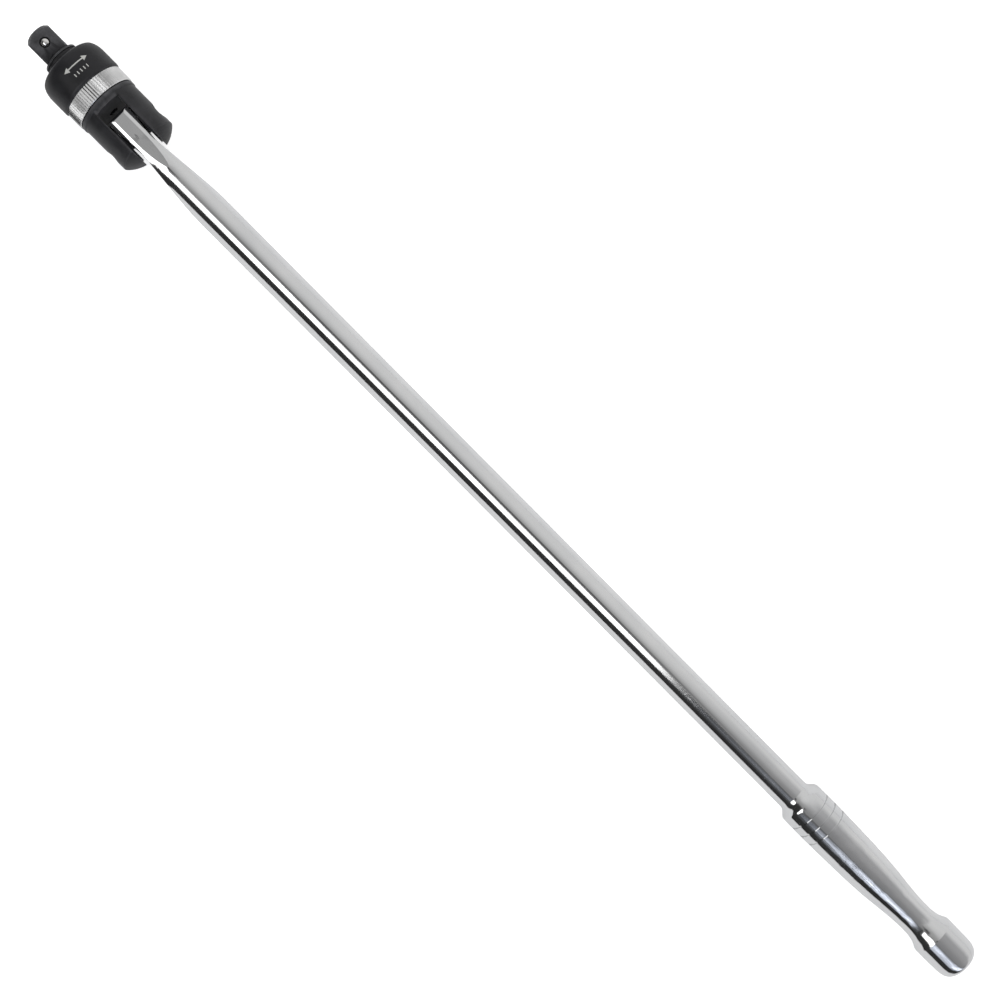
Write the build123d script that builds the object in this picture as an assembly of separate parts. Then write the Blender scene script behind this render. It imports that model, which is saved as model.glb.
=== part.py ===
from build123d import *
import os
from math import cos, radians, sin

# Ratcheting breaker bar with a flex head, in millimetres.
# While it is modelled, X is the distance from the tip of the drive square and the tool's axis is the X axis.
# The last step moves it so that the origin is under its middle, on the surface that it lies on.
# Y runs along the pivot pin and Z is up, through the open sides of the fork's slot.

# --- driving dimensions: whole tool -------------------------------------------------------------
total_length = 600.0
housing_radius = 16.2
shaft_radius = 7.85
running_clearance = 0.08

# --- drive spindle ------------------------------------------------------------------------------
drive_across_flats = 12.7
drive_square_end_x = 13.0
drive_corner_radius = 8.35
flange_radius = 8.45
flange_start_x = 14.9
flange_groove_x = 15.8
journal_radius = 8.5
ball_radius = 2.25
ball_x = 7.1
ball_stand_out = 1.0
ball_hole_depth = 9.5
gear_teeth = 36
gear_tip_radius = 10.0
gear_root_radius = 9.4
gear_start_x = 37.0
gear_end_x = 43.5
stub_radius = 5.0
stub_start_x = 38.8

# --- front housing ------------------------------------------------------------------------------
housing_front_x = 19.4
housing_rear_x = 35.8
boss_radius = 13.9
boss_front_x = 23.2
boss_bore_radius = 10.5
seal_start_x = 21.2
snap_ring_x = 28.2
snap_ring_width = 1.0
bushing_end_x = 35.6

# --- knurled reversing ring ---------------------------------------------------------------------
ring_radius = 15.75
ring_inner_radius = 14.0
ring_front_x = 36.0
ring_rear_x = 44.2
serration_count = 74
serration_depth = 0.42
ring_travel_deg = 24.0
key_start_x = 37.8
key_end_x = 40.2
detent_ball_x = 40.3

# --- fork ---------------------------------------------------------------------------------------
collar_front_x = 44.5
collar_width = 2.0
collar_radius = 15.35
fork_radius = 14.95
fork_side_end_x = 70.4
fork_end_x = 74.9
slot_floor_x = 48.6
slot_width = 12.9
chamber_floor_x = 43.8
spot_face_radius = 5.0
spot_face_y = 14.2

# --- pivot --------------------------------------------------------------------------------------
pivot_x = 62.8
pin_radius = 4.0
tongue_front_x = 53.3
tongue_half_height = 11.0
tongue_flat_end_x = 66.0
tongue_crown_radius = 11.35
tongue_corner_radius = 2.5
tongue_corner_reach = 13.6
rim_fillet = 0.45
tongue_thickness = 11.3
washer_radius = 10.4
washer_thickness = 0.6
plunger_radius = 2.2
plunger_hole_start_x = 40.8
plunger_rear_x = 41.75
plunger_bore_radius = 1.6
plunger_bore_end_x = 45.65
plunger_travel = 0.8

# --- pawls: angles are round the tool's axis, from +Y towards +Z ----------------------------------
pawl_start_x = 37.6
pawl_end_x = 43.3
pawl_pivot_radius = 12.1
pawl_pivot_deg = 54.0
pawl_pin_radius = 1.1
pawl_pin_start_x = 34.8
pawl_pin_end_x = 45.6
pawl_lift_deg = 8.0
pocket_edge_deg = 8.0
pocket_start_x = 37.2
pocket_end_x = 43.7

# --- neck and grip ------------------------------------------------------------------------------
neck_end_x = 118.0
grip_start_x = 487.5
grip_shoulder_x = 493.0
grip_radius = 11.05
grip_waist_x = 569.0
grip_waist_radius = 7.85
grip_bulb_x = 579.6
grip_bulb_radius = 10.5
grip_end_corner_x = 592.5
grip_end_face_radius = 6.6
groove_centres_x = [498.4, 503.7, 508.9]
groove_width = 0.9
groove_depth = 0.4


def rod(radius, start_x, end_x):
    """Solid cylinder along the tool's axis."""
    return Pos((start_x + end_x) / 2, 0, 0) * Rot(0, 90, 0) * Cylinder(radius, end_x - start_x)


def tube(outer_radius, inner_radius, start_x, end_x):
    """Plain ring or bush along the tool's axis."""
    return rod(outer_radius, start_x, end_x) - rod(inner_radius, start_x - 1, end_x + 1)


def turned(*edges):
    """Solid turned round the tool's axis from an outline that starts and ends on the axis."""
    outline = Curve() + list(edges)
    first = outline @ 0
    last = outline @ 1
    return revolve(make_face(outline + Line(last, first)), Axis.X)


def polar(radius, angle_deg):
    """Point across the axis: first coordinate along Y, second along Z."""
    return (radius * cos(radians(angle_deg)), radius * sin(radians(angle_deg)))


def across_axis(sketch, start_x, end_x):
    """Extrude an outline drawn in the YZ plane from one X to another."""
    return Pos(start_x, 0, 0) * extrude(Plane.YZ * sketch, end_x - start_x)


def coil_spring(coil_radius, wire_radius, length, turns):
    """Compression spring along +Z, its lower end at the origin."""
    rise = length - 2 * wire_radius
    path = Helix(pitch=rise / turns, height=rise, radius=coil_radius)
    section = Plane(origin=path @ 0, z_dir=path % 0) * Circle(wire_radius)
    return Pos(0, 0, wire_radius) * sweep(section, path=path, is_frenet=True)


def gear_outline(tip_radius, root_radius):
    """Closed outline of the ratchet wheel, with straight-sided teeth."""
    step = 360 / gear_teeth
    points = []
    for tooth in range(gear_teeth):
        points.append(polar(root_radius, step * (tooth - 0.5)))
        points.append(polar(tip_radius, step * (tooth - 0.08)))
        points.append(polar(tip_radius, step * (tooth + 0.08)))
    return make_face(Polyline(*points, close=True))


def make_bar():
    """One-piece chromed bar: tongue, tapering neck, round shaft and swollen grip."""
    return make_tang() + make_shaft_and_grip()


def make_tang():
    """Tongue and neck: where a round blank, the top view and the side view overlap, with rounded rims."""
    tang = make_neck_side_view() & make_neck_top_view() & make_neck_blank()
    rims = [edge for edge in tang.edges() if is_rim(edge)]
    tang = fillet(rims, rim_fillet)
    tang -= Pos(pivot_x, 0, 0) * Rot(90, 0, 0) * Cylinder(pin_radius + running_clearance, 30)
    return tang - make_setting_mark()


def make_setting_mark():
    """Short V-shaped nick cut lengthwise in the tongue's upper flat by a sharp-edged disc."""
    cutter_radius = 3.6
    depth = 0.5
    half_cutter = Cone(cutter_radius, 0, cutter_radius, align=(Align.CENTER, Align.CENTER, Align.MIN))
    cutter = half_cutter + mirror(half_cutter, Plane.XY)
    height = tongue_half_height + cutter_radius - depth
    return Pos(pivot_x + 4.4, -0.5, height) * Rot(90, 0, 0) * cutter


def is_rim(edge):
    """True for the long edges where the tongue's and neck's flat sides meet their rim."""
    middle = edge.center()
    return abs(middle.Y) > 3 and middle.X < 100 and edge.length > 3


def make_neck_blank():
    """Round envelope of the tongue and neck, which gives the tongue's flats their crowned edges."""
    return turned(
        Line((tongue_front_x - 5, 0), (tongue_front_x - 5, tongue_crown_radius)),
        Line((tongue_front_x - 5, tongue_crown_radius), (tongue_flat_end_x, tongue_crown_radius)),
        Spline(
            (tongue_flat_end_x, tongue_crown_radius), (78, 9.35), (93, shaft_radius), tangents=[(1, 0), (1, 0)]
        ),
        Line((93, shaft_radius), (neck_end_x, shaft_radius)),
        Line((neck_end_x, shaft_radius), (neck_end_x, 0)),
    )


def make_neck_top_view():
    """Outline seen along the slot: parallel in front, pinched behind the pin, widening to the shaft."""
    half_front = tongue_thickness / 2
    half_end = shaft_radius + 0.13
    straight_end_x = pivot_x - 4.3
    start_x = tongue_front_x - 5
    waist = [(68.5, 4.5), (78.4, 4.98), (90, 6.2), (102.5, 7.38)]
    edge = Spline(
        (straight_end_x, half_front), *waist, (neck_end_x, half_end), tangents=[(1, 0), (1, 0.02)],
    )
    half_outline = make_face(
        Curve() + [
            Line((start_x, half_front), (straight_end_x, half_front)),
            edge,
            Line((neck_end_x, half_end), (neck_end_x, 0)),
            Line((neck_end_x, 0), (start_x, 0)),
            Line((start_x, 0), (start_x, half_front)),
        ]
    )
    return Pos(0, 0, -20) * extrude(half_outline + mirror(half_outline, Plane.XZ), 40)


def make_neck_side_view():
    """Outline seen along the pivot pin: a square nose with round corners, flats, then an easy slope."""
    half_end = shaft_radius + 0.15
    half_outline = make_face(
        Polyline(
            (tongue_front_x, 0), (tongue_front_x, tongue_half_height),
            (tongue_flat_end_x, tongue_half_height), (tongue_flat_end_x, 0), close=True,
        )
    )
    half_outline += make_face(
        Curve() + [
            Line((tongue_flat_end_x, 0), (tongue_flat_end_x, tongue_half_height)),
            Spline(
                (tongue_flat_end_x, tongue_half_height), (78, 9.1), (92, half_end), tangents=[(1, 0), (1, 0)]
            ),
            Line((92, half_end), (neck_end_x, half_end)),
            Line((neck_end_x, half_end), (neck_end_x, 0)),
            Line((neck_end_x, 0), (tongue_flat_end_x, 0)),
        ]
    )
    outline = half_outline + mirror(half_outline, Plane.XZ)
    corners = outline.vertices().group_by(Axis.X)[0]
    corners = [corner for corner in corners if abs(corner.Y) > 1]
    outline = fillet(corners, tongue_corner_radius)
    return Rot(90, 0, 0) * Pos(0, 0, -20) * extrude(outline, 40)


def make_shaft_and_grip():
    """Round shaft that swells into the grip, with three fine grooves and a bulb at the end."""
    flare_foot = (grip_start_x, shaft_radius)
    flare_top = (grip_shoulder_x - 1.2, grip_radius - 0.55)
    shoulder = (grip_shoulder_x, grip_radius)
    waist = (grip_waist_x, grip_waist_radius)
    bulb_foot = (grip_bulb_x - 1.4, grip_bulb_radius - 0.55)
    bulb_front = (grip_bulb_x, grip_bulb_radius)
    bulb_back = (grip_end_corner_x, grip_bulb_radius - 0.1)
    end_edge = (total_length - 0.7, grip_end_face_radius)
    end_middle = (total_length, 0)
    shape = turned(
        Line((neck_end_x, 0), (neck_end_x, shaft_radius)),
        Line((neck_end_x, shaft_radius), flare_foot),
        Spline(flare_foot, flare_top, tangents=[(1, 0), (1, 0.72)]),
        Spline(flare_top, shoulder, tangents=[(1, 0.72), (1, 0.02)]),
        Spline(shoulder, (524, 10.78), (546.3, 9.65), waist, tangents=[(1, 0.02), (1, 0)]),
        Spline(waist, bulb_foot, tangents=[(1, 0), (1, 0.62)]),
        Spline(bulb_foot, bulb_front, tangents=[(1, 0.62), (1, 0.02)]),
        Line(bulb_front, bulb_back),
        Spline(bulb_back, end_edge, tangents=[(1, 0), (0.22, -1)]),
        Spline(end_edge, end_middle, tangents=[(0.22, -1), (0, -1)]),
    )
    for centre_x in groove_centres_x:
        start_x = centre_x - groove_width / 2
        shape -= tube(grip_radius + 1, grip_radius - groove_depth, start_x, start_x + groove_width)
    return shape


def make_fork_head():
    """Forked head: two ears and a slot behind, a stepped boss with the ratchet's chamber in front."""
    edge = 0.3
    collar_end_x = collar_front_x + collar_width
    body = turned(
        Line((boss_front_x, 0), (boss_front_x, boss_radius - edge)),
        Line((boss_front_x, boss_radius - edge), (boss_front_x + edge, boss_radius)),
        Line((boss_front_x + edge, boss_radius), (collar_front_x, boss_radius)),
        Line((collar_front_x, boss_radius), (collar_front_x, collar_radius - edge)),
        Line((collar_front_x, collar_radius - edge), (collar_front_x + edge, collar_radius)),
        Line((collar_front_x + edge, collar_radius), (collar_end_x, collar_radius)),
        Line((collar_end_x, collar_radius), (collar_end_x + 0.6, fork_radius)),
        Line((collar_end_x + 0.6, fork_radius), (fork_side_end_x, fork_radius)),
        ThreePointArc((fork_side_end_x, fork_radius), (73.1, 11.6), (fork_end_x, slot_width / 2)),
        Line((fork_end_x, slot_width / 2), (fork_end_x, 0)),
    )
    body = body - make_slot() - make_slot_edge_breaks()
    pin_hole = Pos(pivot_x, 0, 0) * Rot(90, 0, 0) * Cylinder(pin_radius, 40)
    spot_face = Pos(pivot_x, spot_face_y, 0) * Rot(-90, 0, 0) * Cylinder(
        spot_face_radius, 5, align=(Align.CENTER, Align.CENTER, Align.MIN)
    )
    plunger_hole = rod(plunger_radius + running_clearance, plunger_hole_start_x, slot_floor_x + 1)
    return body - make_ratchet_chamber() - pin_hole - spot_face - plunger_hole


def make_slot():
    """Through slot between the ears, with small radii at its floor."""
    corner = 0.8
    length = fork_end_x + 5 - slot_floor_x
    slot = Pos(slot_floor_x + length / 2, 0, 0) * Box(length, slot_width, 40)
    floor_edges = slot.edges().filter_by(Axis.Z).group_by(Axis.X)[0]
    return fillet(floor_edges, corner)


def make_slot_edge_breaks():
    """Four square bars on edge that take the sharpness off the ears' long edges."""
    half_width = slot_width / 2
    edge_z = (fork_radius ** 2 - half_width ** 2) ** 0.5
    length = fork_end_x - slot_floor_x
    breaks = []
    for side in (-1, 1):
        for height in (-edge_z, edge_z):
            middle = Pos(slot_floor_x + length / 2, side * half_width, height)
            breaks.append(middle * Rot(45, 0, 0) * Box(length, 0.7, 0.7))
    return breaks


def make_ratchet_chamber():
    """Everything cut out of the boss: spindle bore, pawl pocket, pin holes, detent hole and ring groove."""
    bore = rod(boss_bore_radius, boss_front_x - 1, chamber_floor_x)
    bore -= rod(stub_radius, stub_start_x, chamber_floor_x)
    pocket_points = [polar(boss_radius + 2, pocket_edge_deg), polar(30, 45), polar(30, 135)]
    pocket_points += [polar(boss_radius + 2, 180 - pocket_edge_deg), (0, 0)]
    wedge = across_axis(make_face(Polyline(*pocket_points, close=True)), pocket_start_x, pocket_end_x)
    pocket = wedge & tube(boss_radius + 1, boss_bore_radius - 1, pocket_start_x, pocket_end_x)
    cut = bore + pocket
    for angle in (pawl_pivot_deg, 180 - pawl_pivot_deg):
        y, z = polar(pawl_pivot_radius, angle)
        cut += Pos(0, y, z) * rod(pawl_pin_radius, pawl_pin_start_x, pawl_pin_end_x)
    detent_hole = Pos(detent_ball_x, 0, -10.8) * Rot(180, 0, 0) * Cylinder(
        1.08, 5, align=(Align.CENTER, Align.CENTER, Align.MIN)
    )
    groove = tube(boss_radius + 1, boss_radius - 0.6, snap_ring_x, snap_ring_x + snap_ring_width + 0.1)
    return cut + detent_hole + groove


def make_front_housing():
    """Domed cup over the boss, open round the spindle in front."""
    edge = 1.5
    face_edge = (housing_front_x + 0.1, 12.9)
    brow = (21.1, 15.2)
    side_start = (26.0, housing_radius)
    side_end = (housing_rear_x - edge, housing_radius)
    rear_corner = (housing_rear_x, housing_radius - 0.7)
    cup = turned(
        Line((housing_front_x, 0), (housing_front_x, 10.0)),
        Line((housing_front_x, 10.0), face_edge),
        ThreePointArc(face_edge, (20.0, 14.4), brow),
        Spline(brow, side_start, tangents=[(1, 0.5), (1, 0)]),
        Line(side_start, side_end),
        ThreePointArc(side_end, (housing_rear_x - 0.6, housing_radius - 0.18), rear_corner),
        Line(rear_corner, (housing_rear_x, 0)),
    )
    cup -= rod(journal_radius + running_clearance, housing_front_x - 1, seal_start_x + 1)
    cup -= rod(boss_bore_radius, seal_start_x, boss_front_x + 1)
    cup -= rod(boss_radius, boss_front_x, housing_rear_x + 1)
    return cup - tube(boss_radius + 0.6, boss_radius - 1, snap_ring_x, snap_ring_x + snap_ring_width + 0.1)


def make_housing_snap_ring():
    """Split wire ring that locks the housing onto the boss."""
    start_x = snap_ring_x + 0.05
    wire_ring = tube(boss_radius + 0.5, boss_radius - 0.5, start_x, start_x + snap_ring_width)
    gap = Pos(snap_ring_x, 0, -boss_radius) * Box(6, 4, 6)
    return wire_ring - gap


def make_drive_spindle():
    """Square drive, flange, journal and ratchet wheel in one piece."""
    half_flat = drive_across_flats / 2
    square_end_x = drive_square_end_x + 1.6
    square = Pos(square_end_x / 2, 0, 0) * Box(square_end_x, drive_across_flats, drive_across_flats)
    tip_form = turned(
        Line((0, 0), (0, half_flat - 0.75)),
        Line((0, half_flat - 0.75), (2.9, drive_corner_radius)),
        Line((2.9, drive_corner_radius), (square_end_x, drive_corner_radius)),
        Line((square_end_x, drive_corner_radius), (square_end_x, 0)),
    )
    neck_start = (drive_square_end_x - 0.3, half_flat - 0.05)
    flange_start = (flange_start_x, flange_radius)
    groove_radius = flange_radius - 0.5
    groove_end_x = flange_groove_x + 0.8
    shank = turned(
        Line((neck_start[0], 0), neck_start),
        ThreePointArc(neck_start, (14.05, 7.15), flange_start),
        Line(flange_start, (flange_groove_x, flange_radius)),
        Line((flange_groove_x, flange_radius), (flange_groove_x + 0.2, groove_radius)),
        Line((flange_groove_x + 0.2, groove_radius), (groove_end_x, groove_radius)),
        Line((groove_end_x, groove_radius), (groove_end_x + 0.2, journal_radius)),
        Line((groove_end_x + 0.2, journal_radius), (gear_start_x, journal_radius)),
        Line((gear_start_x, journal_radius), (gear_start_x, 0)),
    )
    wheel = across_axis(gear_outline(gear_tip_radius, gear_root_radius), gear_start_x, gear_end_x)
    spindle = (square & tip_form) + shank + wheel
    spindle -= rod(stub_radius + running_clearance, stub_start_x - 0.4, gear_end_x + 1)
    ball_hole = Pos(ball_x, 0, half_flat - ball_hole_depth) * Cylinder(
        ball_radius + running_clearance, ball_hole_depth + 1, align=(Align.CENTER, Align.CENTER, Align.MIN)
    )
    mouth_depth = 0.4
    mouth = Pos(ball_x, 0, half_flat - mouth_depth) * Cone(
        ball_radius + running_clearance, ball_radius + 0.3, mouth_depth + 0.01,
        align=(Align.CENTER, Align.CENTER, Align.MIN),
    )
    return spindle - ball_hole - mouth


def make_drive_ball():
    """Ball that holds a socket on the drive square."""
    centre_z = drive_across_flats / 2 + ball_stand_out - ball_radius
    return Pos(ball_x, 0, centre_z) * Sphere(ball_radius)


def make_drive_ball_spring():
    """Spring under the drive ball, on the floor of its hole."""
    floor_z = drive_across_flats / 2 - ball_hole_depth
    ball_bottom_z = drive_across_flats / 2 + ball_stand_out - 2 * ball_radius
    return Pos(ball_x, 0, floor_z + 0.05) * coil_spring(1.6, 0.3, ball_bottom_z - floor_z - 0.1, 6)


def make_knurled_ring():
    """Reversing ring with straight serrations, a key slot inside and a groove for the detent ball."""
    step = 360 / serration_count
    points = []
    for serration in range(serration_count):
        points.append(polar(ring_radius, step * serration))
        points.append(polar(ring_radius - serration_depth, step * (serration + 0.5)))
    blank = across_axis(make_face(Polyline(*points, close=True)), ring_front_x, ring_rear_x)
    edge = 0.45
    form = turned(
        Line((ring_front_x, 0), (ring_front_x, ring_radius - edge)),
        Line((ring_front_x, ring_radius - edge), (ring_front_x + edge, ring_radius + 0.01)),
        Line((ring_front_x + edge, ring_radius + 0.01), (ring_rear_x - edge, ring_radius + 0.01)),
        Line((ring_rear_x - edge, ring_radius + 0.01), (ring_rear_x, ring_radius - edge)),
        Line((ring_rear_x, ring_radius - edge), (ring_rear_x, 0)),
    )
    ring = (blank & form) - rod(ring_inner_radius, ring_front_x - 1, ring_rear_x + 1)
    return ring - make_key_blank() - make_ring_detent_groove()


def make_key_blank():
    """Block set in the ring's inner wall, which reaches inwards over one pawl's tail."""
    key_radius = 12.8
    half_key_deg = 6.0
    rest_deg = 90 + ring_travel_deg / 2
    sector = [(0, 0), polar(20, rest_deg - half_key_deg), polar(20, rest_deg + half_key_deg)]
    wedge = across_axis(make_face(Polyline(*sector, close=True)), key_start_x, key_end_x)
    return wedge & tube(ring_inner_radius + 0.8, key_radius, key_start_x, key_end_x)


def make_ring_detent_groove():
    """Shallow groove inside the ring that the detent ball runs in, as long as the ring's travel."""
    width_deg = 7.0
    sector = [(0, 0), polar(20, 270 - width_deg)]
    sector += [polar(22, 270 + ring_travel_deg / 2), polar(20, 270 + ring_travel_deg + width_deg)]
    start_x = detent_ball_x - 1.1
    end_x = detent_ball_x + 1.1
    wedge = across_axis(make_face(Polyline(*sector, close=True)), start_x, end_x)
    return wedge & tube(ring_inner_radius + 0.45, ring_inner_radius - 1, start_x, end_x)


def make_right_pawl():
    """Toothed rocker on the +Y side, engaged with the ratchet wheel."""
    outline = make_face(
        Polyline(
            polar(12.5, 13), polar(12.7, 24), polar(13.2, 36), polar(13.45, pawl_pivot_deg), polar(13.25, 68),
            polar(13.1, 74), polar(12.5, 80), polar(11.2, 80), polar(11.0, 68), polar(10.55, 48),
            polar(10.35, 35), polar(9.5, 32), polar(9.5, 24), polar(9.5, 14), close=True,
        )
    )
    clearance = 0.07
    wheel = gear_outline(gear_tip_radius + clearance, gear_root_radius + clearance)
    pawl = across_axis(outline, pawl_start_x, pawl_end_x) - across_axis(wheel, gear_start_x, gear_end_x)
    y, z = polar(pawl_pivot_radius, pawl_pivot_deg)
    return pawl - Pos(0, y, z) * rod(pawl_pin_radius + 0.06, pawl_start_x - 1, pawl_end_x + 1)


def make_left_pawl():
    """Mirror image of the right pawl, held clear of the wheel by the ring's key."""
    engaged = mirror(make_right_pawl(), Plane.XZ)
    y, z = polar(pawl_pivot_radius, 180 - pawl_pivot_deg)
    return Pos(0, y, z) * Rot(-pawl_lift_deg, 0, 0) * Pos(0, -y, -z) * engaged


def make_pawl_pins():
    """Two pins that the pawls rock on."""
    pins = []
    for angle in (pawl_pivot_deg, 180 - pawl_pivot_deg):
        y, z = polar(pawl_pivot_radius, angle)
        pins.append(Pos(0, y, z) * rod(pawl_pin_radius, pawl_pin_start_x, pawl_pin_end_x))
    return Compound(children=pins)


def make_pawl_spring():
    """Spring between the pawls' tails."""
    length = 3.2
    return Pos(pawl_end_x - 1.4, length / 2, 11.75) * Rot(90, 0, 0) * coil_spring(0.75, 0.18, length, 6)


def make_ring_detent_ball():
    """Small ball under the boss that clicks into the ring."""
    return Pos(detent_ball_x, 0, -13.15) * Sphere(1.0)


def make_ring_detent_spring():
    """Spring that presses the ring's ball outwards."""
    return Pos(detent_ball_x, 0, -12.1) * coil_spring(0.7, 0.15, 1.25, 3)


def make_pivot_pin():
    """Cross pin through both ears, its ends chamfered."""
    length = spot_face_y + 14.4
    pin = Pos(pivot_x, spot_face_y, 0) * Rot(90, 0, 0) * Cylinder(
        pin_radius, length, align=(Align.CENTER, Align.CENTER, Align.MIN)
    )
    return chamfer(pin.edges().filter_by(GeomType.CIRCLE), 0.4)


def make_pivot_washers():
    """Two friction washers, one each side of the tongue."""
    centre_y = (slot_width / 2 + tongue_thickness / 2) / 2
    washers = []
    for side in (-1, 1):
        disc = Cylinder(washer_radius, washer_thickness) - Cylinder(pin_radius + running_clearance, 2)
        washers.append(Pos(pivot_x, side * centre_y, 0) * Rot(90, 0, 0) * disc)
    return Compound(children=washers)


def make_flex_plunger():
    """Round-nosed plunger in the fork's floor, pressed in clear of the tongue's corners, hollow behind."""
    nose_x = pivot_x - tongue_corner_reach - 0.1 - plunger_radius
    plunger = rod(plunger_radius, plunger_rear_x, nose_x) + Pos(nose_x, 0, 0) * Sphere(plunger_radius)
    return plunger - rod(plunger_bore_radius, plunger_rear_x - 1, plunger_bore_end_x)


def make_flex_plunger_spring():
    """Spring behind the plunger, which runs up into the plunger's bore."""
    length = plunger_bore_end_x - plunger_travel - 0.1 - plunger_hole_start_x
    spring = coil_spring(plunger_bore_radius - 0.4, 0.25, length, 7)
    return Pos(plunger_hole_start_x + 0.05, 0, 0) * Rot(0, 90, 0) * spring


def make_dust_seal():
    """Rubber ring between the housing and the spindle."""
    return tube(boss_bore_radius, journal_radius + 0.1, seal_start_x, boss_front_x - 0.1)


def make_spindle_bushing():
    """Bronze bearing that the spindle turns in."""
    return tube(boss_bore_radius, journal_radius + running_clearance, boss_front_x, bushing_end_x)


def make_thrust_washer():
    """Washer between the bushing and the ratchet wheel."""
    return tube(boss_bore_radius - 0.1, journal_radius + 0.1, bushing_end_x + 0.1, gear_start_x - 0.2)


nodes = {
    "bar": make_bar(),
    "fork_head": make_fork_head(),
    "pivot_pin": make_pivot_pin(),
    "pivot_washers": make_pivot_washers(),
    "flex_plunger": make_flex_plunger(),
    "flex_plunger_spring": make_flex_plunger_spring(),
    "front_housing": make_front_housing(),
    "housing_snap_ring": make_housing_snap_ring(),
    "dust_seal": make_dust_seal(),
    "spindle_bushing": make_spindle_bushing(),
    "thrust_washer": make_thrust_washer(),
    "drive_spindle": make_drive_spindle(),
    "drive_ball": make_drive_ball(),
    "drive_ball_spring": make_drive_ball_spring(),
    "knurled_ring": make_knurled_ring(),
    "selector_key": make_key_blank(),
    "pawl_right": make_right_pawl(),
    "pawl_left": make_left_pawl(),
    "pawl_pins": make_pawl_pins(),
    "pawl_spring": make_pawl_spring(),
    "ring_detent_ball": make_ring_detent_ball(),
    "ring_detent_spring": make_ring_detent_spring(),
}

os.makedirs("parts", exist_ok=True)
to_object_frame = Pos(-total_length / 2, 0, housing_radius)
for name, shape in nodes.items():
    export_step(to_object_frame * shape, f"parts/{name}.step")
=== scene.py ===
from math import cos, pi, radians, sin

import bpy
from mathutils import Matrix, Vector


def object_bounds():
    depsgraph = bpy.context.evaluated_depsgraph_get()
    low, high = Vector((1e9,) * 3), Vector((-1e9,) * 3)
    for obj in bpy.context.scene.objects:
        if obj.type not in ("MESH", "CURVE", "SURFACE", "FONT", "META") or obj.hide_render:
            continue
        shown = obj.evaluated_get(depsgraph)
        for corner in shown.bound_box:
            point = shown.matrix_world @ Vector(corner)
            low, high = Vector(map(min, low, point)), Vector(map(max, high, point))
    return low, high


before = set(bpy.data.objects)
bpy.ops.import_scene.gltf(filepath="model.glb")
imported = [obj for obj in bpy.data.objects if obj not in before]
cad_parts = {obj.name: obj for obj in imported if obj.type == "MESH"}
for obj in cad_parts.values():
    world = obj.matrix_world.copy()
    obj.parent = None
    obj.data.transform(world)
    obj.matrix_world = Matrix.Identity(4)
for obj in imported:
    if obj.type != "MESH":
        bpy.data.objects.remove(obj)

cad_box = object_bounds()
LOW, HIGH = cad_box
AXIS_Z = (LOW.z + HIGH.z) / 2

# --- camera: metres, in the row frame -------------------------------------------------------------
CAMERA_HEIGHT = 0.722       # above the tool's axis
CAMERA_X = -0.024           # a little nearer the head than the middle
AIM_X = -0.0035
LENS_MM = 56.9
SENSOR_MM = 36.0
BAR_ANGLE = radians(45.16)  # the bar runs down to the right across the picture

# --- studio -----------------------------------------------------------------------------------------
FLOOR_SIZE = 8.0
FLOOR_DROP = 0.0001         # gap between the tool and the paper
FLOOR_GREY = 0.80
FLOOR_GLOW = 0.08           # evens the paper out
CAMERA_GLOW = 0.62          # bleaches the paper behind the tool

STRIP_X = -0.165
STRIP_TILT = radians(35)    # from straight up, towards -Y
STRIP_REACH = 1.2
STRIP_SIZE = (0.97, 0.66)
STRIP_POWER = 4.6

OVERHEAD_PLACE = (0, 0.3, 1.9)
OVERHEAD_SIZE = (2.4, 2.4)
OVERHEAD_POWER = 20

# What the chrome sees round the tool's axis: degrees from straight up, towards -Y, and a grey level.
SURROUND = [
    (-180, 0.78), (-100, 0.84), (-45, 0.82), (-28, 0.75), (-14, 0.62), (-4, 0.48), (8, 0.40), (17, 0.34),
    (22, 0.14), (31, 0.05), (96, 0.03), (101, 0.78),
]
FAR_END_COLOUR = (0.24, 0.24, 0.25)
SLIT_COLOUR = (0.10, 0.10, 0.10)
SLIT_TURN = radians(8)
WINDOW_COLOUR = (2.3, 2.45, 2.8)

# --- finishes ---------------------------------------------------------------------------------------
CHROME_TONES = (0.64, 0.645, 0.65), (0.70, 0.70, 0.70)
BLACK_TONES = (0.007, 0.007, 0.008), (0.013, 0.013, 0.015)
# colour of the painted highlight along the sharp edges of the black parts
BLACK_EDGE_HIGHLIGHT = (0.075, 0.075, 0.08)
BLACK_SPECULAR = 0.28
MARK_COLOUR = (0.42, 0.42, 0.40)
NICKEL_TONES = (0.66, 0.66, 0.66), (0.80, 0.80, 0.80)
# painted shade colour for the valleys between the ring's serrations
NICKEL_VALLEY_SHADE = (0.20, 0.20, 0.20)
RUBBER_TONES = (0.018, 0.018, 0.018), (0.035, 0.035, 0.035)

# --- etched direction mark on the housing: metres, and radians round the axis from +Z towards +Y ------
MARK_X = 0.0267             # from the tip of the drive square
MARK_TURN = radians(10)
MARK_HALF_LENGTH = 0.0068
MARK_LINE_HALF_WIDTH = 0.00028
MARK_HEAD_LENGTH = 0.0026
MARK_HEAD_HALF_WIDTH = 0.0013
TICK_ROW_X = 0.0306
TICK_HALF_LENGTH = 0.0008
TICK_SPACING = 0.0018
TICK_HALF_WIDTH = 0.00022
TICK_ROW_HALF_LENGTH = 0.0050


# === node helpers ===================================================================================

def new_material(name):
    """Empty node material with a Principled shader, which it returns with its node tree."""
    material = bpy.data.materials.new(name)
    material.use_nodes = True
    tree = material.node_tree
    shader = tree.nodes["Principled BSDF"]
    return material, tree, shader


def add_node(tree, kind, **settings):
    """Add a node. Settings whose names are inputs go on the sockets, the others on the node."""
    node = tree.nodes.new(kind)
    for key, value in settings.items():
        if key in node.inputs:
            node.inputs[key].default_value = value
        else:
            setattr(node, key, value)
    return node


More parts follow.
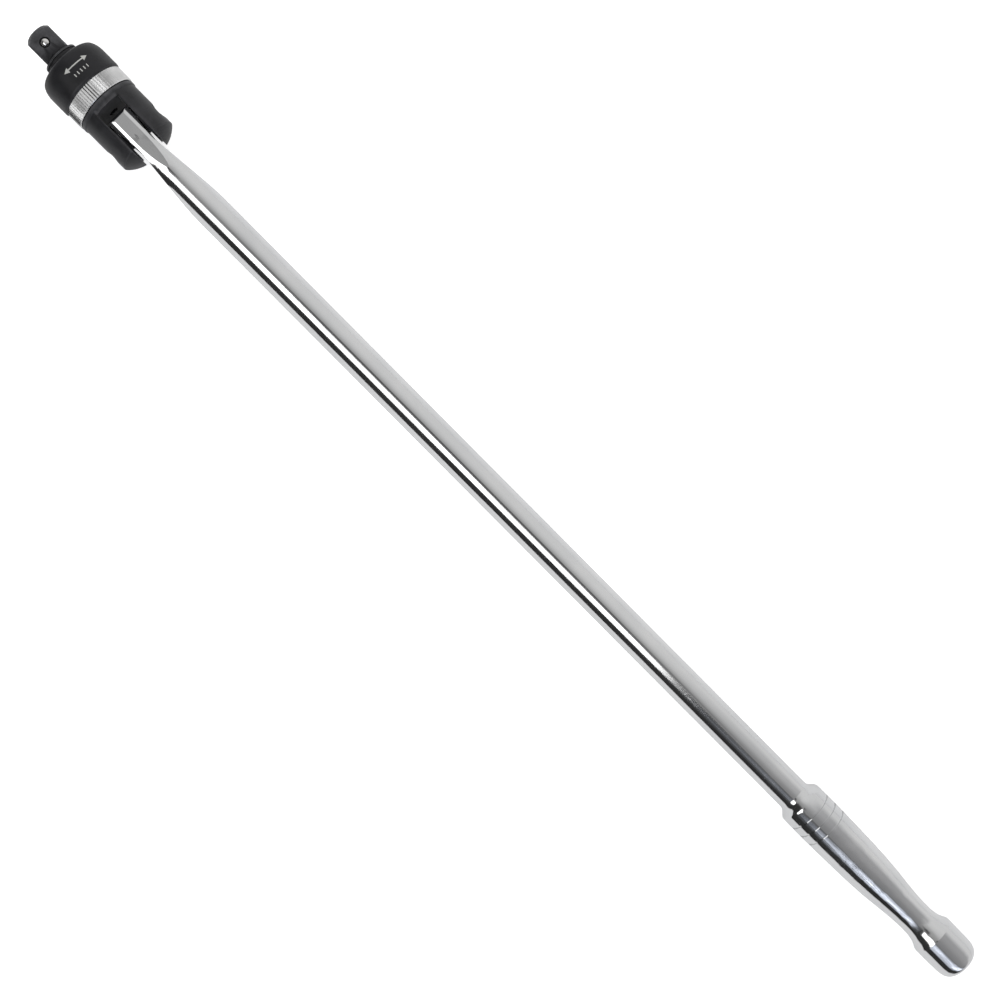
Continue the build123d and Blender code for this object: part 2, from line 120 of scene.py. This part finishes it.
def object_coords(tree, scale=(1, 1, 1), location=(0, 0, 0)):
    """Object coordinates in metres, stretched by scale."""
    coords = add_node(tree, "ShaderNodeTexCoord")
    mapping = add_node(tree, "ShaderNodeMapping")
    mapping.inputs["Scale"].default_value = scale
    mapping.inputs["Location"].default_value = location
    tree.links.new(coords.outputs["Object"], mapping.inputs["Vector"])
    return mapping.outputs["Vector"]


def noise(tree, vector, scale, detail=3.0, roughness=0.5, distortion=0.0):
    """Noise between 0 and 1, mostly near 0.5."""
    node = add_node(
        tree, "ShaderNodeTexNoise", Scale=scale, Detail=detail, Roughness=roughness, Distortion=distortion
    )
    tree.links.new(vector, node.inputs["Vector"])
    return node.outputs["Fac"]


def ramp(tree, value, low, high, out_low, out_high):
    """Map a value from one range to another, clamped at both ends."""
    node = add_node(tree, "ShaderNodeMapRange")
    node.inputs["From Min"].default_value = low
    node.inputs["From Max"].default_value = high
    node.inputs["To Min"].default_value = out_low
    node.inputs["To Max"].default_value = out_high
    tree.links.new(value, node.inputs["Value"])
    return node.outputs["Result"]


def maths(tree, operation, first, second=0):
    """Maths node. Either input may be a number or a socket, and ABSOLUTE uses only the first."""
    node = add_node(tree, "ShaderNodeMath", operation=operation)
    for index, value in enumerate((first, second)):
        if isinstance(value, (int, float)):
            node.inputs[index].default_value = value
        else:
            tree.links.new(value, node.inputs[index])
    return node.outputs["Value"]


def mix_colour(tree, factor, first, second):
    """Blend from the first colour to the second; either may be a tuple or a socket."""
    node = add_node(tree, "ShaderNodeMix", data_type="RGBA")
    tree.links.new(factor, node.inputs["Factor"])
    for socket, value in (("A", first), ("B", second)):
        target = [s for s in node.inputs if s.name == socket and s.type == "RGBA"][0]
        if isinstance(value, tuple):
            target.default_value = (*value, 1)
        else:
            tree.links.new(value, target)
    return [s for s in node.outputs if s.type == "RGBA"][0]


def bump(tree, height, distance, strength, below=None):
    """Normal bumped by a height, on top of another bump where one is given."""
    node = add_node(tree, "ShaderNodeBump", Distance=distance, Strength=strength)
    tree.links.new(height, node.inputs["Height"])
    if below is not None:
        tree.links.new(below, node.inputs["Normal"])
    return node.outputs["Normal"]


def edge_mask(tree, low=0.51, high=0.56):
    """0 on flat or hollow surfaces and 1 on sharp outer edges."""
    geometry = add_node(tree, "ShaderNodeNewGeometry")
    return ramp(tree, geometry.outputs["Pointiness"], low, high, 0.0, 1.0)


# === materials ======================================================================================

def chrome_material():
    """Bright chrome plate with faint polishing lines, smears and fine scratches."""
    material, tree, shader = new_material("chrome_plate")
    shader.inputs["Metallic"].default_value = 1.0
    lengthwise = object_coords(tree, (6, 260, 260))
    plain = object_coords(tree)
    smears = noise(tree, plain, 38, 5, 0.6, 0.4)
    specks = noise(tree, plain, 900, 3, 0.6)
    lines = noise(tree, lengthwise, 9, 4, 0.6)
    roughness = ramp(tree, smears, 0.35, 0.75, 0.07, 0.14)
    speckle = ramp(tree, specks, 0.62, 0.72, 0.0, 0.10)
    tree.links.new(maths(tree, "ADD", roughness, speckle), shader.inputs["Roughness"])
    tone = mix_colour(tree, ramp(tree, smears, 0.3, 0.7, 0.0, 1.0), *CHROME_TONES)
    tree.links.new(tone, shader.inputs["Base Color"])
    ripple = bump(tree, lines, 0.00002, 0.25)
    tree.links.new(bump(tree, specks, 0.00001, 0.2, ripple), shader.inputs["Normal"])
    return material


def black_oxide_material(name, marked=False):
    """Satin black oxide with a fine cast grain, soft mottling and a mottled painted highlight along the
    sharp edges.
    """
    material, tree, shader = new_material(name)
    plain = object_coords(tree)
    grain = noise(tree, plain, 2200, 4, 0.65)
    mottle = noise(tree, plain, 160, 5, 0.6, 0.3)
    shader.inputs["Specular IOR Level"].default_value = BLACK_SPECULAR
    base = mix_colour(tree, ramp(tree, mottle, 0.3, 0.7, 0, 1), *BLACK_TONES)
    # painted highlight: sharp edges painted lighter, broken up by the mottle, standing in for the sheen
    # edges catch
    edge_highlight = maths(tree, "MULTIPLY", edge_mask(tree), ramp(tree, mottle, 0.35, 0.65, 0.2, 0.9))
    colour = mix_colour(tree, edge_highlight, base, BLACK_EDGE_HIGHLIGHT)
    if marked:
        colour = mix_colour(tree, etched_mark(tree), colour, MARK_COLOUR)
    tree.links.new(colour, shader.inputs["Base Color"])
    tree.links.new(ramp(tree, mottle, 0.3, 0.7, 0.36, 0.48), shader.inputs["Roughness"])
    coarse = bump(tree, mottle, 0.00006, 0.25)
    tree.links.new(bump(tree, grain, 0.00003, 0.5, coarse), shader.inputs["Normal"])
    return material


def etched_mark(tree):
    """1 inside a plain turn-both-ways arrow with a row of ticks beside it, etched round the housing."""
    split = add_node(tree, "ShaderNodeSeparateXYZ")
    tree.links.new(object_coords(tree, (1, 1, 1), (-LOW.x, 0, -AXIS_Z)), split.inputs["Vector"])
    turn = maths(tree, "ARCTAN2", split.outputs["Y"], split.outputs["Z"])
    round_axis = maths(tree, "MULTIPLY", maths(tree, "SUBTRACT", turn, MARK_TURN), AXIS_Z)
    from_middle = maths(tree, "ABSOLUTE", round_axis)
    off_line = maths(tree, "ABSOLUTE", maths(tree, "SUBTRACT", split.outputs["X"], MARK_X))
    shank_end = MARK_HALF_LENGTH - MARK_HEAD_LENGTH / 2
    shank = maths(
        tree, "MULTIPLY",
        maths(tree, "LESS_THAN", off_line, MARK_LINE_HALF_WIDTH),
        maths(tree, "LESS_THAN", from_middle, shank_end),
    )
    head_start = MARK_HALF_LENGTH - MARK_HEAD_LENGTH
    head_width = ramp(tree, from_middle, head_start, MARK_HALF_LENGTH, MARK_HEAD_HALF_WIDTH, 0.0)
    head = maths(
        tree, "MULTIPLY",
        maths(tree, "LESS_THAN", off_line, head_width),
        maths(tree, "GREATER_THAN", from_middle, head_start),
    )
    off_row = maths(tree, "ABSOLUTE", maths(tree, "SUBTRACT", split.outputs["X"], TICK_ROW_X))
    in_row = maths(
        tree, "MULTIPLY",
        maths(tree, "LESS_THAN", off_row, TICK_HALF_LENGTH),
        maths(tree, "LESS_THAN", from_middle, TICK_ROW_HALF_LENGTH),
    )
    to_tick = maths(tree, "PINGPONG", from_middle, TICK_SPACING / 2)
    ticks = maths(tree, "MULTIPLY", in_row, maths(tree, "LESS_THAN", to_tick, TICK_HALF_WIDTH))
    outward = maths(tree, "GREATER_THAN", split.outputs["Z"], 0.0)
    mark = maths(tree, "MAXIMUM", maths(tree, "MAXIMUM", shank, head), ticks)
    return maths(tree, "MULTIPLY", mark, outward)


def nickel_material():
    """Satin nickel on the serrated ring, with painted shade down in the serration valleys so the crests
    read brighter, and a few dull patches.
    """
    material, tree, shader = new_material("satin_nickel")
    shader.inputs["Metallic"].default_value = 1.0
    plain = object_coords(tree)
    patches = noise(tree, plain, 210, 4, 0.6, 0.5)
    grain = noise(tree, plain, 3200, 2, 0.5)
    crest_colour = mix_colour(tree, ramp(tree, patches, 0.35, 0.7, 0, 1), *NICKEL_TONES)
    # painted shade: the valleys between serrations painted dark, the crests left at the nickel tone
    unshaded_crests = edge_mask(tree, 0.44, 0.56)
    tree.links.new(mix_colour(tree, unshaded_crests, NICKEL_VALLEY_SHADE, crest_colour), shader.inputs["Base Color"])
    tree.links.new(ramp(tree, patches, 0.3, 0.7, 0.20, 0.30), shader.inputs["Roughness"])
    tree.links.new(bump(tree, grain, 0.00002, 0.4), shader.inputs["Normal"])
    return material


def steel_material(name, colour, roughness, grind_scale=700):
    """Ground or drawn steel with fine lines and a little tone variation."""
    material, tree, shader = new_material(name)
    shader.inputs["Metallic"].default_value = 1.0
    plain = object_coords(tree)
    tone = noise(tree, plain, 300, 4, 0.6)
    lines = noise(tree, object_coords(tree, (0.15, 1, 1)), grind_scale, 3, 0.5)
    darker = tuple(0.8 * channel for channel in colour)
    tree.links.new(mix_colour(tree, tone, darker, colour), shader.inputs["Base Color"])
    gloss = ramp(tree, tone, 0.3, 0.7, 0.8 * roughness, 1.2 * roughness)
    tree.links.new(gloss, shader.inputs["Roughness"])
    tree.links.new(bump(tree, lines, 0.00002, 0.4), shader.inputs["Normal"])
    return material


def rubber_material():
    """Matt black nitrile rubber."""
    material, tree, shader = new_material("seal_rubber")
    plain = object_coords(tree)
    grain = noise(tree, plain, 900, 3, 0.6)
    tree.links.new(mix_colour(tree, grain, *RUBBER_TONES), shader.inputs["Base Color"])
    tree.links.new(ramp(tree, grain, 0.3, 0.7, 0.6, 0.8), shader.inputs["Roughness"])
    tree.links.new(bump(tree, grain, 0.00003, 0.5), shader.inputs["Normal"])
    return material


def dress(material, *names):
    """Put one material on whole CAD nodes."""
    for name in names:
        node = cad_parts[name]
        node.data.materials.clear()
        node.data.materials.append(material)


def dress_all_nodes():
    """Give every CAD node its material."""
    dress(chrome_material(), "bar")
    dress(black_oxide_material("black_oxide"), "fork_head", "drive_spindle", "pivot_pin")
    dress(black_oxide_material("black_oxide_marked", marked=True), "front_housing")
    dress(nickel_material(), "knurled_ring")
    hardened = steel_material("hardened_steel", (0.42, 0.42, 0.43), 0.32)
    dress(hardened, "selector_key", "pawl_right", "pawl_left", "pawl_pins")
    phosphated = steel_material("phosphated_steel", (0.055, 0.055, 0.06), 0.45)
    dress(phosphated, "pivot_washers", "flex_plunger")
    wire = steel_material("spring_steel", (0.34, 0.34, 0.36), 0.36, 1200)
    dress(wire, "flex_plunger_spring", "drive_ball_spring", "pawl_spring", "ring_detent_spring")
    dress(wire, "housing_snap_ring")
    bright = steel_material("bright_steel", (0.80, 0.79, 0.77), 0.14, 400)
    dress(bright, "drive_ball", "ring_detent_ball")
    bronze = steel_material("bearing_bronze", (0.58, 0.38, 0.19), 0.30)
    dress(bronze, "spindle_bushing", "thrust_washer")
    dress(rubber_material(), "dust_seal")


# === camera, floor and light ========================================================================

def add_camera():
    """Camera above the bar, aimed at its middle and turned so that the head is at the upper left."""
    data = bpy.data.cameras.new("camera")
    data.lens = LENS_MM
    data.sensor_width = SENSOR_MM
    camera = bpy.data.objects.new("camera", data)
    bpy.context.collection.objects.link(camera)
    place = Vector((CAMERA_X, 0, AXIS_Z + CAMERA_HEIGHT))
    back = (place - Vector((AIM_X, 0, AXIS_Z))).normalized()
    along = Vector((0, 1, 0)).cross(back).normalized()
    across = back.cross(along)
    right = cos(BAR_ANGLE) * along + sin(BAR_ANGLE) * across
    up = back.cross(right)
    turn = Matrix((right, up, back)).transposed().to_4x4()
    camera.matrix_world = Matrix.Translation(place) @ turn
    bpy.context.scene.camera = camera


def add_floor():
    """Plain pale floor just under the tool."""
    bpy.ops.mesh.primitive_plane_add(size=FLOOR_SIZE, location=(0, 0, LOW.z - FLOOR_DROP))
    floor = bpy.context.object
    floor.name = "floor"
    material, tree, shader = new_material("floor_paper")
    grain = noise(tree, object_coords(tree), 60, 3, 0.5)
    shade = mix_colour(tree, grain, (FLOOR_GREY,) * 3, (FLOOR_GREY + 0.02,) * 3)
    tree.links.new(shade, shader.inputs["Base Color"])
    shader.inputs["Roughness"].default_value = 0.9
    shader.inputs["Specular IOR Level"].default_value = 0.1
    path = add_node(tree, "ShaderNodeLightPath")
    glow = ramp(tree, path.outputs["Is Camera Ray"], 0, 1, FLOOR_GLOW, CAMERA_GLOW)
    shader.inputs["Emission Color"].default_value = (1, 1, 1, 1)
    tree.links.new(glow, shader.inputs["Emission Strength"])
    floor.data.materials.append(material)


def add_area(name, place, target, size, energy):
    """Soft rectangular light aimed at a point."""
    data = bpy.data.lights.new(name, "AREA")
    data.shape = "RECTANGLE"
    data.size, data.size_y = size
    data.energy = energy
    light = bpy.data.objects.new(name, data)
    bpy.context.collection.objects.link(light)
    light.location = place
    light.rotation_mode = "QUATERNION"
    light.rotation_quaternion = (Vector(target) - Vector(place)).to_track_quat("-Z", "Y")
    return light


def world_shader():
    """Studio walls as the chrome sees them, graded round the tool's axis, and white to the camera."""
    world = bpy.data.worlds.new("studio")
    world.use_nodes = True
    tree = world.node_tree
    background = tree.nodes["Background"]
    coords = add_node(tree, "ShaderNodeTexCoord")
    split = add_node(tree, "ShaderNodeSeparateXYZ")
    tree.links.new(coords.outputs["Generated"], split.inputs["Vector"])
    towards_minus_y = maths(tree, "MULTIPLY", split.outputs["Y"], -1)
    turn = maths(tree, "ARCTAN2", towards_minus_y, split.outputs["Z"])
    grades = add_node(tree, "ShaderNodeValToRGB")
    stops = grades.color_ramp.elements
    while len(stops) < len(SURROUND):
        stops.new(0.5)
    for stop, (degrees_from_up, grey) in zip(stops, SURROUND):
        stop.position = degrees_from_up / 360 + 0.5
        stop.color = (grey, grey, grey, 1)
    tree.links.new(ramp(tree, turn, -pi, pi, 0, 1), grades.inputs["Fac"])
    dimmed = mix_colour(tree, dim_far_end(tree, split, turn), grades.outputs["Color"], FAR_END_COLOUR)
    shaded = mix_colour(tree, overhead_gap(tree, split, turn), dimmed, SLIT_COLOUR)
    lit = mix_colour(tree, garden_window(tree, coords, split, turn), shaded, WINDOW_COLOUR)
    path = add_node(tree, "ShaderNodeLightPath")
    seen = mix_colour(tree, path.outputs["Is Camera Ray"], lit, (1.0, 1.0, 1.0))
    tree.links.new(seen, background.inputs["Color"])
    background.inputs["Strength"].default_value = 1.0
    bpy.context.scene.world = world


def overhead_gap(tree, split, turn):
    """Factor for the dark slit straight above the middle, which draws a thin line along the bar."""
    from_middle = maths(tree, "ABSOLUTE", split.outputs["X"])
    from_slit = maths(tree, "ABSOLUTE", maths(tree, "SUBTRACT", turn, SLIT_TURN))
    along = ramp(tree, from_middle, 0.12, 0.26, 1, 0)
    return maths(tree, "MULTIPLY", along, ramp(tree, from_slit, radians(3), radians(8), 1, 0))


def dim_far_end(tree, split, turn):
    """Factor that darkens the top of the surround along +X, where the grip mirrors it."""
    along = ramp(tree, split.outputs["X"], 0.16, 0.34, 0, 0.62)
    band = maths(
        tree, "MULTIPLY",
        ramp(tree, turn, radians(-68), radians(-44), 0, 1),
        ramp(tree, turn, radians(14), radians(24), 1, 0),
    )
    return maths(tree, "MULTIPLY", along, band)


def garden_window(tree, coords, split, turn):
    """Factor for a dappled bluish window far along +X, low on the dark side, which the grip mirrors."""
    dapple = noise(tree, coords.outputs["Generated"], 15, 3, 0.6)
    along = ramp(tree, split.outputs["X"], 0.30, 0.42, 0.1, 1)
    far_end = ramp(tree, split.outputs["X"], 0.16, 0.26, 0, 1)
    band = maths(
        tree, "MULTIPLY",
        ramp(tree, turn, radians(22), radians(36), 0, 1),
        ramp(tree, turn, radians(44), radians(64), 1, 0),
    )
    dappled = maths(tree, "MULTIPLY", band, ramp(tree, dapple, 0.38, 0.58, 0.10, 1))
    return maths(tree, "MULTIPLY", maths(tree, "MULTIPLY", along, far_end), dappled)


def add_studio():
    """Graded surround, a long strip light on the -Y side and an overhead light that isn't mirrored."""
    world_shader()
    bpy.context.scene.view_settings.view_transform = "Standard"
    strip_target = (STRIP_X, 0, AXIS_Z)
    strip_place = (STRIP_X, -STRIP_REACH * sin(STRIP_TILT), AXIS_Z + STRIP_REACH * cos(STRIP_TILT))
    add_area("strip", strip_place, strip_target, STRIP_SIZE, STRIP_POWER)
    overhead = add_area("overhead", OVERHEAD_PLACE, (0, 0, AXIS_Z), OVERHEAD_SIZE, OVERHEAD_POWER)
    overhead.visible_glossy = False


dress_all_nodes()
add_camera()
add_floor()
add_studio()
